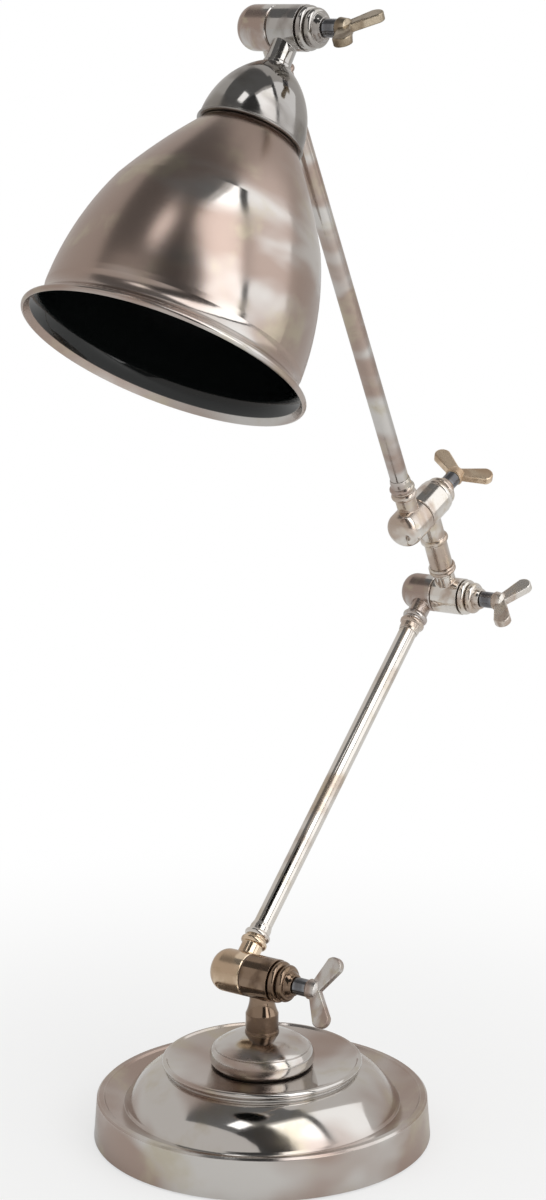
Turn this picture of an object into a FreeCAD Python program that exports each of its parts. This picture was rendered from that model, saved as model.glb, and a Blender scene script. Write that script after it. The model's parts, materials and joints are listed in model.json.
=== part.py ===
import FreeCAD, Part

import math
import os

import Sketcher

# Swing-arm table lamp: a stepped round base, two tube arms, four barrel knuckles with wing screws and a bell
# shade. Millimetres, +Z up. The origin is the centre of the felt's underside. The knuckles' axes lie along Y at
# the foot and the elbow, so the lower arm leans towards +X.

Vector = FreeCAD.Vector

DIMENSIONS = {
    # base
    "base_radius": 90.0,
    "skirt_draft": 2.8,
    "skirt_height": 22.6,
    "skirt_foot_gap": 0.8,
    "rim_bevel": 1.1,
    "rim_width": 2.6,
    "groove_radius": 73.8,
    "groove_height": 18.2,
    "groove_step": 1.1,
    "groove_rise": 1.2,
    "groove_bevel": 1.0,
    "groove_lift": 0.4,
    "apron_curve": 49.2,
    "dome_radius_of_curve": 36.0,
    "lip_radius": 53.7,
    "lip_height": 42.2,
    "lip_bead": 1.5,
    "lip_width": 2.4,
    "lip_step": 1.0,
    "lip_undercut": 2.2,
    "lip_neck": 0.8,
    "dish_height": 37.2,
    "dish_margin": 3.0,
    "dish_slope": 0.6,
    "dish_curve": 90.0,
    "cover_wall": 1.2,
    "felt_thickness": 2.0,
    "weight_gap": 0.6,
    "weight_crown_gap": 1.0,
    "nut_recess_radius": 22.0,
    "nut_recess_height": 14.0,
    "boss_foot_radius": 24.3,
    "boss_shoulder_radius": 26.2,
    "boss_shoulder_height": 11.4,
    "boss_height": 19.0,
    "boss_side_curve": 7.6,
    "boss_top_curve": 34.0,
    "boss_step": 0.9,
    "boss_step_height": 0.6,
    "column_radius": 8.8,
    "column_ring": 0.35,
    "column_ring_height": 1.4,
    "stem_top_radius": 6.7,
    "stem_taper": 8.0,
    "stem_root": 0.8,
    "stem_curve": 24.0,
    "rod_radius": 5.0,
    "rod_wall": 1.5,
    "rod_tail": 1.0,
    "nut_height": 6.0,
    "nut_flats": 17.0,
    "tie_washer_radius": 11.0,
    "tie_washer_thickness": 1.4,
    "cable_height": 7.5,
    "cable_hole_depth": 18.0,
    "cable_hole_start": 4.5,
    "cable_bore_radius": 3.2,
    "bush_radius": 4.6,
    "bush_flange": 1.6,
    "bush_flange_width": 1.6,
    "bush_bevel": 0.6,
    "bush_snap": 0.8,
    "bush_snap_length": 1.6,
    "bush_grip_gap": 0.3,
    "bush_face_gap": 0.15,
    # knuckles
    "foot_axis_height": 86.5,
    "knuckle_radius": 11.5,
    "elbow_radius": 10.5,
    "screw_half_length": 17.4,
    "end_round": 7.5,
    "plain_neck_gap": 0.3,
    "screw_neck_gap": 0.35,
    "barrel_wall": 2.4,
    "bush_boss_radius": 5.2,
    "edge_chamfer": 0.5,
    "cut_margin": 0.5,
    "neck_bore_overlap": 0.4,
    "wire_bore_overlap": 0.6,
    "friction_washer": 0.6,
    "stud_radius": 3.0,
    "stud_clearance": 0.06,
    "running_gap": 0.05,
    "stud_depth": 13.0,
    "stud_room": 2.0,
    "stud_point": 0.8,
    "stud_grip": 4.2,
    "cap_length": 12.0,
    "cap_bead": 2.1,
    "cap_step": 1.2,
    "cap_groove": 0.3,
    "cap_waist": 0.8,
    "cap_nose_bevel": 0.6,
    "cap_nose_length": 1.2,
    "cap_nose_radius": 5.6,
    "spring_washer": 0.9,
    "spring_washer_radius": 7.0,
    "spring_washer_room": 0.2,
    "shoulder_radius": 4.6,
    "shoulder_length": 8.0,
    "shoulder_bevel": 0.5,
    "hub_length": 7.0,
    "hub_radius": 5.4,
    "hub_foot_step": 0.2,
    "hub_foot_rise": 1.0,
    "hub_taper": 0.6,
    "hub_crown": 1.6,
    "hub_crown_curve": 8.64,
    "wing_span": 39.0,
    "wing_sweep": 58.0,
    "wing_width": 9.6,
    "wing_thickness": 4.6,
    "wing_fillet": 0.8,
    "wing_root": 3.15,
    "wing_waist": 3.744,
    "wing_foot_gap": 0.4,
    # arms
    "neck_step": 0.7,
    "neck_length": 21.5,
    "neck_bead": 2.1,
    "neck_rim": 0.8,
    "tube_radius": 5.2,
    "tube_wall": 1.0,
    "tube_seat": 9.5,
    "wire_bore_radius": 2.7,
    "collar_radius": 7.5,
    "collar_length": 8.0,
    "collar_bevel": 1.8,
    "collar_edge": 0.25,
    "slip_clearance": 0.05,
    "lower_arm_length": 260.0,
    "upper_arm_length": 300.0,
    # link between the elbow and the wrist
    "link_length": 62.0,
    "link_neck": 17.6,
    "link_neck_radius": 6.6,
    "link_land": 1.2,
    "link_step": 0.6,
    "link_bead_place": 19.8,
    "swivel_ring_radius": 8.0,
    "swivel_ring_length": 4.2,
    "swivel_bolt_radius": 4.0,
    "swivel_head_radius": 4.9,
    "swivel_head_length": 3.0,
    "swivel_shoulder": 10.0,
    # shade
    "shade_reach": 183.9,
    "mouth_radius": 73.0,
    "rim_roll": 1.7,
    "flare_foot_gap": 1.2,
    "flare_width": 4.4,
    "flare_wall_across": 0.8,
    "flare_wall_up": 1.0,
    "flare_curve": 9.0,
    "flare_height": 15.0,
    "bell_waist_radius": 65.7,
    "bell_waist_length": 3.0,
    "bell_break_radius": 53.6,
    "bell_break_height": 76.0,
    "bell_break_drop": 0.4,
    "bell_lower_curve": 157.0,
    "bell_upper_curve": 300.0,
    "bell_top_height": 121.2,
    "shade_wall": 1.2,
    "gallery_gap": 1.2,
    "gallery_width": 5.4,
    "cap_overhang": 1.4,
    "cap_seat": 1.0,
    "cap_height": 39.0,
    "cap_curve": 44.6,
    "cap_lip": 1.6,
    "cap_crown_margin": 1.0,
    "head_foot_step": 0.8,
    "head_foot_height": 1.4,
    "head_foot_bevel": 0.6,
    "nipple_drop": 11.0,
    "holder_radius": 18.8,
    "holder_wall": 4.0,
    "holder_dome_radius": 9.8,
    "holder_dome_height": 11.0,
    "holder_dome_curve": 30.08,
    "holder_step": 1.0,
    "holder_nut_gap": 0.4,
    "holder_floor_depth": 12.0,
    "nipple_socket": 6.0,
    "chamber_margin": 0.4,
    "holder_drop": 19.0,
    "holder_flange_gap": 0.6,
    "holder_flange": 2.6,
    "shade_ring_gap": 0.8,
    "shade_ring_length": 6.0,
    "shade_ring_step": 2.6,
    "shade_ring_edge": 2.2,
    "nipple_nut_flats": 13.0,
    "nipple_nut_height": 3.6,
    "shell_wall": 0.6,
    "shell_length": 24.0,
    "shell_lip": 3.0,
    "shell_gap": 0.2,
    "contact_width": 6.0,
    "contact_thickness": 0.8,
    "contact_drop": 5.6,
    "contact_gap": 0.6,
    "contact_foot_gap": 0.6,
    "contact_bend": 3.0,
    "contact_wall_gap": 6.0,
    "contact_knee": 2.0,
    "contact_slope": 1.0,
    "contact_taper": 0.4,
    "contact_centre_gap": 1.0,
    # rest pose, in degrees
    "lower_arm_lean": 47.5,
    "link_lean": -27.0,
    "wrist_turn": 86.0,
    "upper_arm_tilt": -0.9,
    "head_turn": -90.6,
    "shade_tilt": 58.0,
}


class Size:
    """A length: its value in mm and the sheet expression that gives it."""

    def __init__(self, value, text):
        self.value = value
        self.text = text

    def __add__(self, other):
        other = as_size(other)
        return Size(self.value + other.value, f"({self.text} + {other.text})")

    def __sub__(self, other):
        other = as_size(other)
        return Size(self.value - other.value, f"({self.text} - {other.text})")

    def __mul__(self, other):
        other = as_size(other)
        return Size(self.value * other.value, f"({self.text} * {other.text})")

    def __truediv__(self, other):
        other = as_size(other)
        return Size(self.value / other.value, f"({self.text} / {other.text})")

    def __neg__(self):
        return Size(-self.value, f"(0 - {self.text})")

    __radd__ = __add__
    __rmul__ = __mul__

    def __rsub__(self, other):
        return as_size(other) - self

    def sin(self):
        return Size(math.sin(math.radians(self.value)), f"sin({self.text} * 1 deg)")

    def cos(self):
        return Size(math.cos(math.radians(self.value)), f"cos({self.text} * 1 deg)")


def as_size(number):
    return number if isinstance(number, Size) else Size(float(number), repr(float(number)))


class Sheet:
    """The spreadsheet of driving dimensions, read as attributes."""

    def __init__(self, document, dimensions):
        self.sheet = document.addObject("Spreadsheet::Sheet", "Dimensions")
        self.values = dict(dimensions)
        for row, (alias, value) in enumerate(dimensions.items(), start=1):
            self.sheet.set(f"A{row}", alias)
            self.sheet.set(f"B{row}", str(value))
            self.sheet.setAlias(f"B{row}", alias)

    def __getattr__(self, alias):
        if alias not in self.values:
            raise AttributeError(alias)
        return Size(self.values[alias], f"Dimensions.{alias}")


DOC = FreeCAD.newDocument("swing_arm_lamp")
D = Sheet(DOC, DIMENSIONS)
DOC.recompute()


# Drawing

def new_body(label):
    body = DOC.addObject("PartDesign::Body", label)
    body.Label = label
    return body


def new_sketch(body, role, across=0, up=0, out=0):
    """A sketch on one of the body's own origin planes, with its origin moved in the plane and off it."""
    plane = next(part for part in body.Origin.OriginFeatures if part.Role == role)
    sketch = body.newObject("Sketcher::SketchObject", f"{body.Label}_sketch")
    sketch.AttachmentSupport = (plane, [""])
    sketch.MapMode = "FlatFace"
    for letter, distance in (("x", as_size(across)), ("y", as_size(up)), ("z", as_size(out))):
        sketch.setExpression(f"AttachmentOffset.Base.{letter}", distance.text)
    return sketch


def fix_point(sketch, piece, end, across, up):
    """Ties a sketch point to its distances from the sketch's origin."""
    for kind, axis, distance in (("DistanceX", -2, across), ("DistanceY", -1, up)):
        if abs(distance.value) < 1e-9:
            sketch.addConstraint(Sketcher.Constraint("PointOnObject", piece, end, axis))
            continue
        number = sketch.addConstraint(Sketcher.Constraint(kind, -1, 1, piece, end, distance.value))
        sketch.setExpression(f"Constraints[{number}]", distance.text)


def arc_middle(start, end, radius):
    """The middle point of an arc; a positive radius bulges to the right of the way from start to end."""
    chord = end - start
    half = chord.Length / 2
    reach = abs(radius)
    rise = reach - math.sqrt(max(reach * reach - half * half, 0.0))
    side = Vector(chord.y, -chord.x, 0).normalize()
    return (start + end) / 2 + side * math.copysign(rise, radius)


def draw(sketch, outline):
    """Draws a closed outline. Each corner is (across, up), or (across, up, radius) where an arc leads to it."""
    corners = [(as_size(corner[0]), as_size(corner[1])) for corner in outline]
    points = [Vector(across.value, up.value, 0) for across, up in corners]
    pieces = []
    for number, corner in enumerate(outline):
        start, end = points[number - 1], points[number]
        if len(corner) == 3:
            radius = as_size(corner[2])
            piece = sketch.addGeometry(Part.Arc(start, arc_middle(start, end, radius.value), end), False)
            size = sketch.addConstraint(Sketcher.Constraint("Radius", piece, abs(radius.value)))
            sketch.setExpression(f"Constraints[{size}]", (radius if radius.value > 0 else -radius).text)
            first = 1 if (sketch.getPoint(piece, 1) - start).Length < 1e-6 else 2
        else:
            piece = sketch.addGeometry(Part.LineSegment(start, end), False)
            first = 1
        pieces.append((piece, first, 3 - first))
    for number, (piece, _, last) in enumerate(pieces):
        following, first, _ = pieces[(number + 1) % len(pieces)]
        sketch.addConstraint(Sketcher.Constraint("Coincident", piece, last, following, first))
        fix_point(sketch, piece, last, *corners[number])


def turn(body, outline, cut=False, axis="V_Axis", up=0, role="XZ_Plane"):
    """Revolves an outline about an axis of its sketch, as added or removed metal."""
    sketch = new_sketch(body, role, up=up)
    draw(sketch, outline)
    kind = "Groove" if cut else "Revolution"
    feature = body.newObject(f"PartDesign::{kind}", f"{body.Label}_{kind.lower()}")
    feature.Profile = sketch
    feature.ReferenceAxis = (sketch, [axis])
    feature.Angle = 360
    sketch.Visibility = False
    return feature


def turned(label, outline):
    body = new_body(label)
    turn(body, outline)
    return body


def raise_profile(body, draw_profile, length, kind="Pad", role="XY_Plane", out=0, midplane=False,
                  reverse=False):
    """Pads or pockets a profile drawn on one of the body's origin planes."""
    sketch = new_sketch(body, role, out=out)
    draw_profile(sketch)
    feature = body.newObject(f"PartDesign::{kind}", f"{body.Label}_{kind.lower()}")
    feature.Profile = sketch
    feature.setExpression("Length", as_size(length).text)
    feature.Midplane = midplane
    feature.Reversed = reverse
    sketch.Visibility = False
    return feature


def soften(body, chosen, radius):
    """Fillets the edges of the body's newest feature that the test picks."""
    DOC.recompute()
    feature = body.Tip
    names = [f"Edge{number}" for number, edge in enumerate(feature.Shape.Edges, start=1) if chosen(edge)]
    fillet = body.newObject("PartDesign::Fillet", f"{body.Label}_fillet")
    fillet.Base = (feature, names)
    fillet.setExpression("Radius", as_size(radius).text)
    return fillet


def bulge(half_chord):
    """The radius of an arc that is just short of a half circle on a chord of twice this length."""
    return half_chord * 1.02


def circle(sketch, radius, across=0, up=0):
    radius, across, up = as_size(radius), as_size(across), as_size(up)
    centre = Vector(across.value, up.value, 0)
    piece = sketch.addGeometry(Part.Circle(centre, Vector(0, 0, 1), radius.value), False)
    size = sketch.addConstraint(Sketcher.Constraint("Radius", piece, radius.value))
    sketch.setExpression(f"Constraints[{size}]", radius.text)
    fix_point(sketch, piece, 3, across, up)


def hexagon(sketch, flats):
    """A regular hexagon about the sketch's origin, given across its flats."""
    corner = flats / math.sqrt(3)
    side = corner / 2
    half = flats / 2
    draw(sketch, [(corner, 0), (side, half), (-side, half), (-corner, 0), (-side, -half), (side, -half)])


def frame(origin, out, across):
    """A placement whose local Z points out and whose local X points across."""
    rotation = FreeCAD.Rotation(across, out.cross(across), out, "ZXY")
    return FreeCAD.Placement(origin, rotation)


# Base

def base_felt():
    radius = D.base_radius - D.cover_wall - D.weight_gap
    return turned("base_felt", [(0, 0), (radius, 0), (radius, D.felt_thickness), (0, D.felt_thickness)])


def skirt_top_radius():
    return D.base_radius - D.skirt_draft


def base_cover():
    wall = D.cover_wall
    bore = D.rod_radius + D.slip_clearance
    rim_inside = skirt_top_radius() - D.rim_bevel - D.rim_width
    rim_floor = D.skirt_height - D.rim_bevel
    dome_foot = D.groove_radius - D.groove_step
    dome_top = D.lip_radius - D.lip_undercut
    lip_foot = D.lip_height - 2 * D.lip_bead - D.lip_neck
    lip_inside = D.lip_radius - D.lip_width
    lip_ledge = D.lip_height - D.lip_step
    dish_edge = D.boss_foot_radius + D.dish_margin
    body = turned("base_cover", [
        (D.base_radius, D.skirt_foot_gap),
        (skirt_top_radius() + D.rim_bevel, D.skirt_height - D.rim_bevel),
        (skirt_top_radius(), D.skirt_height),
        (skirt_top_radius() - D.rim_width, D.skirt_height),
        (rim_inside, rim_floor),
        (D.groove_radius + D.groove_bevel, D.groove_height + D.groove_lift, D.apron_curve),
        (D.groove_radius, D.groove_height),
        (dome_foot, D.groove_height + D.groove_rise),
        (dome_top, lip_foot - D.lip_neck, D.dome_radius_of_curve),
        (dome_top, lip_foot),
        (D.lip_radius - D.lip_bead, D.lip_height - 2 * D.lip_bead),
        (D.lip_radius - D.lip_bead, D.lip_height, bulge(D.lip_bead)),
        (lip_inside, D.lip_height),
        (lip_inside - D.lip_step, lip_ledge),
        (dish_edge, D.dish_height + D.dish_slope, -D.dish_curve),
        (D.boss_foot_radius, D.dish_height),
        (bore, D.dish_height),
        (bore, D.dish_height - wall),
        (D.boss_foot_radius, D.dish_height - wall),
        (dome_top - wall, lip_foot - D.lip_neck - wall),
        (dome_foot - wall, D.groove_height + D.groove_rise - wall, wall - D.dome_radius_of_curve),
        (D.groove_radius - wall, D.groove_height - wall),
        (rim_inside, rim_floor - wall),
        (skirt_top_radius() + D.rim_bevel - wall, rim_floor - wall),
        (D.base_radius - wall, D.skirt_foot_gap),
    ])
    cable_hole(body, D.bush_radius)
    return body


def cable_hole(body, radius):
    """A hole through the rear of the skirt for the cable bush."""
    raise_profile(body, lambda sketch: circle(sketch, radius, 0, D.cable_height), D.cable_hole_depth, "Pocket",
                  "YZ_Plane", out=D.base_radius + D.cable_hole_start)


def base_weight():
    gap = D.weight_gap
    wall = D.cover_wall
    bore = D.rod_radius + D.slip_clearance
    foot = D.felt_thickness
    ledge = D.groove_height - wall - gap - D.groove_rise
    top = D.dish_height - wall
    skirt = D.base_radius - wall - 2 * gap
    body = turned("base_weight", [
        (D.nut_recess_radius, foot),
        (skirt, foot),
        (skirt_top_radius() + D.rim_bevel - wall - 2 * gap, ledge),
        (D.groove_radius - 2 * wall - 2 * gap, ledge),
        (D.groove_radius - 3 * wall - 2 * gap, ledge + D.groove_rise),
        (D.lip_radius - D.lip_undercut - 2 * wall - 2 * gap, top - D.weight_crown_gap, D.dome_radius_of_curve),
        (D.boss_foot_radius, top - D.weight_crown_gap),
        (D.boss_foot_radius, top),
        (bore, top),
        (bore, D.nut_recess_height),
        (D.nut_recess_radius, D.nut_recess_height),
    ])
    half = D.bush_radius + 2 * gap
    height = D.cable_height + half
    start = D.nut_recess_radius / 2
    raise_profile(body, lambda sketch: draw(sketch, [
        (start, -half), (D.base_radius, -half), (D.base_radius, half), (start, half)]),
        height - foot, "Pocket", out=foot, reverse=True)
    return body


def base_boss():
    bore = D.rod_radius + D.slip_clearance
    foot = D.dish_height
    shoulder = foot + D.boss_shoulder_height
    return turned("base_boss", [
        (bore, foot),
        (D.boss_foot_radius, foot),
        (D.boss_shoulder_radius, shoulder, D.boss_side_curve),
        (D.boss_shoulder_radius - D.boss_step, shoulder),
        (D.boss_shoulder_radius - D.boss_step, shoulder + D.boss_step_height),
        (D.column_radius, foot + D.boss_height, D.boss_top_curve),
        (bore, foot + D.boss_height),
    ])


def stem_column():
    bore = D.rod_radius + D.slip_clearance
    foot = D.dish_height + D.boss_height
    top = D.foot_axis_height - stem_neck_length()
    ring = D.column_ring
    return turned("stem_column", [
        (bore, foot),
        (D.column_radius + ring, foot),
        (D.column_radius + ring, foot + D.column_ring_height),
        (D.column_radius, foot + D.column_ring_height + ring),
        (D.column_radius, top),
        (bore, top),
    ])


def stem_neck_length():
    return D.knuckle_radius + D.stem_taper


def tie_rod():
    bottom = D.nut_recess_height - D.tie_washer_thickness - D.nut_height - D.rod_tail
    top = D.foot_axis_height - D.knuckle_radius + D.barrel_wall
    inside = D.rod_radius - D.rod_wall
    return turned("tie_rod", [(inside, bottom), (D.rod_radius, bottom), (D.rod_radius, top), (inside, top)])


def tie_washer():
    top = D.nut_recess_height
    bottom = top - D.tie_washer_thickness
    bore = D.rod_radius + D.slip_clearance
    return turned("tie_washer", [
        (bore, bottom), (D.tie_washer_radius, bottom), (D.tie_washer_radius, top), (bore, top)])


# A nut's bore is cut past both of its faces by this share of its height
OVERCUT = 0.25


def hex_nut(label, flats, height, bore, level):
    body = new_body(label)
    raise_profile(body, lambda sketch: hexagon(sketch, flats), height, out=level)
    raise_profile(body, lambda sketch: circle(sketch, bore), height * (1 + 2 * OVERCUT), "Pocket",
                  out=level + height * (1 + OVERCUT))
    return body


def tie_nut():
    level = D.nut_recess_height - D.tie_washer_thickness - D.nut_height
    return hex_nut("tie_nut", D.nut_flats, D.nut_height, D.rod_radius, level)


def cable_bush():
    """A snap-in bush, square to the skirt's slope: local X points out of the skirt."""
    body = new_body("cable_bush")
    outer = D.bush_radius - D.slip_clearance
    snap = D.bush_radius + D.bush_snap
    flange = D.bush_radius + D.bush_flange_width
    grip = D.cover_wall + D.bush_grip_gap
    seat_face = D.bush_face_gap
    front = seat_face + D.bush_flange
    turn(body, [
        (-grip - D.bush_snap_length, D.cable_bore_radius),
        (front, D.cable_bore_radius),
        (front, flange - D.bush_bevel),
        (front - D.bush_bevel, flange),
        (seat_face, flange),
        (seat_face, outer),
        (-grip, outer),
        (-grip, snap),
        (-grip - D.bush_snap_length, outer),
    ], axis="H_Axis")
    run = DIMENSIONS["skirt_height"] - DIMENSIONS["rim_bevel"] - DIMENSIONS["skirt_foot_gap"]
    draft = DIMENSIONS["skirt_draft"] - DIMENSIONS["rim_bevel"]
    height = DIMENSIONS["cable_height"]
    reach = DIMENSIONS["base_radius"] - draft * (height - DIMENSIONS["skirt_foot_gap"]) / run
    out = Vector(run, 0, draft).normalize()
    body.Placement = frame(Vector(reach, 0, height), Vector(-out.z, 0, out.x), out)
    return body


# Knuckles: local Z is the knuckle's axis towards the wing screw, the seam is at z = 0, and local X is the neck

def seat(side, distance):
    """A place along the knuckle's axis, on the screw side (1) or the plain side (-1)."""
    distance = as_size(distance)
    return distance if side > 0 else -distance


def neck_radius():
    return D.tube_radius + D.neck_step


def seam_side():
    """How much of a half's end is taken by the friction washer and the chamfer."""
    return D.friction_washer / 2 + D.edge_chamfer


def plain_neck_offset():
    return neck_radius() + seam_side() + D.plain_neck_gap


def screw_neck_offset():
    return D.link_neck_radius + seam_side() + D.screw_neck_gap


def plain_half_length():
    """The straight part of a plain half, with its neck half way along."""
    return plain_neck_offset() * 2


# The fillet at a neck's root takes this share of the room beside the neck
ROOT_SHARE = 0.8
# The length of a bead that is turned on a neck, in radii of its section
BEAD_CHORD = 1.9


def half(label, radius, side, neck, bore):
    """One half of a knuckle. The neck and its bore are outlines about the neck's own axis."""
    face = D.friction_washer / 2
    inner = radius - D.barrel_wall
    stud = D.stud_radius + D.stud_clearance
    chamfer = D.edge_chamfer
    length = D.screw_half_length if side > 0 else plain_half_length()
    offset = screw_neck_offset() if side > 0 else plain_neck_offset()
    root_fillet = (offset - neck[-1][1] - face - chamfer) * ROOT_SHARE
    body = new_body(label)
    shell = [
        (0, seat(side, face)),
        (radius - chamfer, seat(side, face)),
        (radius, seat(side, face + chamfer)),
        (radius, seat(side, length)),
    ]
    if side > 0:
        shell += [(0, seat(side, length))]
    else:
        end = length + D.end_round
        shell += [(radius - D.end_round, seat(side, end), D.end_round * side), (0, seat(side, end))]
    turn(body, shell)
    turn(body, neck, axis="H_Axis", up=seat(side, offset))
    soften(body, lambda edge: edge.Curve.TypeId == "Part::GeomBSplineCurve", root_fillet)
    floor = length - D.barrel_wall
    turn(body, [
        (D.bush_boss_radius, seat(side, face - D.cut_margin)),
        (inner, seat(side, face - D.cut_margin)),
        (inner, seat(side, floor)),
        (D.bush_boss_radius, seat(side, floor)),
    ], cut=True)
    depth = length + 2 * D.cut_margin if side > 0 else D.stud_depth + D.stud_room
    turn(body, [
        (0, seat(side, face - D.cut_margin)),
        (stud, seat(side, face - D.cut_margin)),
        (stud, seat(side, depth)),
        (0, seat(side, depth)),
    ], cut=True)
    turn(body, bore, cut=True, axis="H_Axis", up=seat(side, offset))
    return body


def arm_neck():
    """The neck of a plain half, with a bead and a spigot for the tube."""
    spigot = D.tube_radius - D.tube_wall - D.slip_clearance
    bead_end = D.neck_length - D.neck_rim
    bead_start = bead_end - BEAD_CHORD * D.neck_bead
    return [
        (0, 0),
        (D.neck_length + D.tube_seat, 0),
        (D.neck_length + D.tube_seat, spigot),
        (D.neck_length, spigot),
        (D.neck_length, neck_radius()),
        (bead_end, neck_radius()),
        (bead_start, neck_radius(), D.neck_bead),
        (0, neck_radius()),
    ]


def neck_bore(radius, barrel, end, overlap=None):
    """A bore along a neck, from inside its barrel to just past the neck's end."""
    start = barrel - D.barrel_wall - (overlap or D.neck_bore_overlap)
    return [(start, 0), (end, 0), (end, radius), (start, radius)]


def wire_bore(barrel, end):
    return neck_bore(D.wire_bore_radius, barrel, end + 2 * D.cut_margin, D.wire_bore_overlap)


def arm_half(label, radius):
    return half(label, radius, -1, arm_neck(), wire_bore(radius, D.neck_length + D.tube_seat))


def stem_half():
    """The foot knuckle's screw side, with the tapered neck that stands on the column."""
    length = stem_neck_length()
    neck = [
        (0, 0),
        (length, 0),
        (length, D.column_radius),
        (D.knuckle_radius + D.stem_root, D.stem_top_radius, -D.stem_curve),
        (0, D.stem_top_radius),
    ]
    bore = neck_bore(D.rod_radius + D.slip_clearance, D.knuckle_radius, length + 2 * D.cut_margin)
    return half("foot_screw_half", D.knuckle_radius, 1, neck, bore)


def link_half():
    """The elbow knuckle's screw side, with the short neck under the swivel ring."""
    neck = [
        (0, 0),
        (D.link_neck, 0),
        (D.link_neck, D.link_neck_radius),
        (D.link_neck - D.link_land, D.link_neck_radius),
        (D.link_neck - D.link_land - D.link_step, neck_radius()),
        (0, neck_radius()),
    ]
    bore = neck_bore(D.swivel_bolt_radius, D.elbow_radius, D.link_neck + 2 * D.cut_margin)
    return half("elbow_screw_half", D.elbow_radius, 1, neck, bore)


def wrist_neck_length():
    return D.link_length - D.link_neck - D.swivel_ring_length - D.running_gap


def wrist_half():
    """The wrist knuckle's screw side, with the long neck that turns on the swivel ring."""
    length = wrist_neck_length()
    bead_start = D.link_bead_place
    bead_end = bead_start + BEAD_CHORD * D.neck_bead
    radius = D.link_neck_radius
    body = half("wrist_screw_half", D.elbow_radius, 1, [
        (0, 0),
        (length, 0),
        (length, radius),
        (bead_end, radius),
        (bead_start, radius, D.neck_bead),
        (0, radius),
    ], neck_bore(D.swivel_bolt_radius + D.slip_clearance, D.elbow_radius, length + 2 * D.cut_margin))
    head = D.swivel_head_radius + D.slip_clearance
    turn(body, neck_bore(head, D.elbow_radius, length - D.swivel_shoulder), cut=True,
         axis="H_Axis", up=screw_neck_offset())
    return body


def head_half():
    """The head knuckle's screw side, with the short neck on top of the cap."""
    length = D.shade_reach - cap_top()
    neck = [
        (0, 0),
        (length, 0),
        (length, D.link_neck_radius + D.head_foot_step),
        (length - D.head_foot_height, D.link_neck_radius + D.head_foot_step),
        (length - D.head_foot_height - D.head_foot_bevel, D.link_neck_radius),
        (0, D.link_neck_radius),
    ]
    bore = neck_bore(D.rod_radius + D.slip_clearance, D.knuckle_radius, length + 2 * D.cut_margin)
    return half("head_screw_half", D.knuckle_radius, 1, neck, bore)


def friction_washer(name, radius):
    """A fibre ring that is glued to the plain half and runs against the screw half."""
    face = D.friction_washer / 2
    inner = radius - D.barrel_wall
    outer = radius - D.edge_chamfer
    free = face - D.running_gap
    return turned(f"{name}_friction_washer", [(inner, -face), (outer, -face), (outer, free), (inner, free)])


# The curve of an end cap's nose, in radii of its knuckle
NOSE_CURVE = 0.9


def end_cap(name, radius):
    """The beaded cap on the screw side: two beads, then a nose that narrows to the stud's shoulder."""
    bore = D.stud_radius + D.stud_clearance
    start = D.screw_half_length
    bead = D.cap_bead
    crest = radius - bead
    second = crest - D.cap_step
    recess = D.spring_washer_radius + D.spring_washer_room
    nose = start + D.cap_length
    second_start = start + 2 * bead + D.cap_groove
    second_end = second_start + 2 * bead
    return turned(f"{name}_end_cap", [
        (recess, start),
        (crest, start),
        (crest, start + 2 * bead, bulge(bead)),
        (second, second_start),
        (second, second_end, bulge(bead)),
        (second - D.cap_waist, second_end),
        (D.cap_nose_radius + D.cap_nose_bevel, nose - D.cap_nose_length, radius * NOSE_CURVE),
        (D.cap_nose_radius, nose),
        (bore, nose),
        (bore, start + D.spring_washer),
        (recess, start + D.spring_washer),
    ])


def spring_washer(name):
    bore = D.stud_radius + D.stud_clearance
    start = D.screw_half_length
    end = start + D.spring_washer
    return turned(f"{name}_spring_washer", [
        (bore, start), (D.spring_washer_radius, start), (D.spring_washer_radius, end), (bore, end)])


def stud_seat():
    """Where the stud's shoulder stands just clear of the end cap's nose."""
    return D.screw_half_length + D.cap_length + D.running_gap


def stud(name):
    """The stud: its thread ends in the plain half, and its shoulder stands on the end cap."""
    nose = stud_seat()
    shoulder = nose + D.shoulder_length
    tail = shoulder + D.stud_grip
    return turned(f"{name}_stud", [
        (0, -D.stud_depth),
        (D.stud_radius - D.stud_point, -D.stud_depth),
        (D.stud_radius, D.stud_point - D.stud_depth),
        (D.stud_radius, nose),
        (D.shoulder_radius - D.shoulder_bevel, nose),
        (D.shoulder_radius, nose + D.shoulder_bevel),
        (D.shoulder_radius, shoulder),
        (D.stud_radius, shoulder),
        (D.stud_radius, tail),
        (0, tail),
    ])


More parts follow.
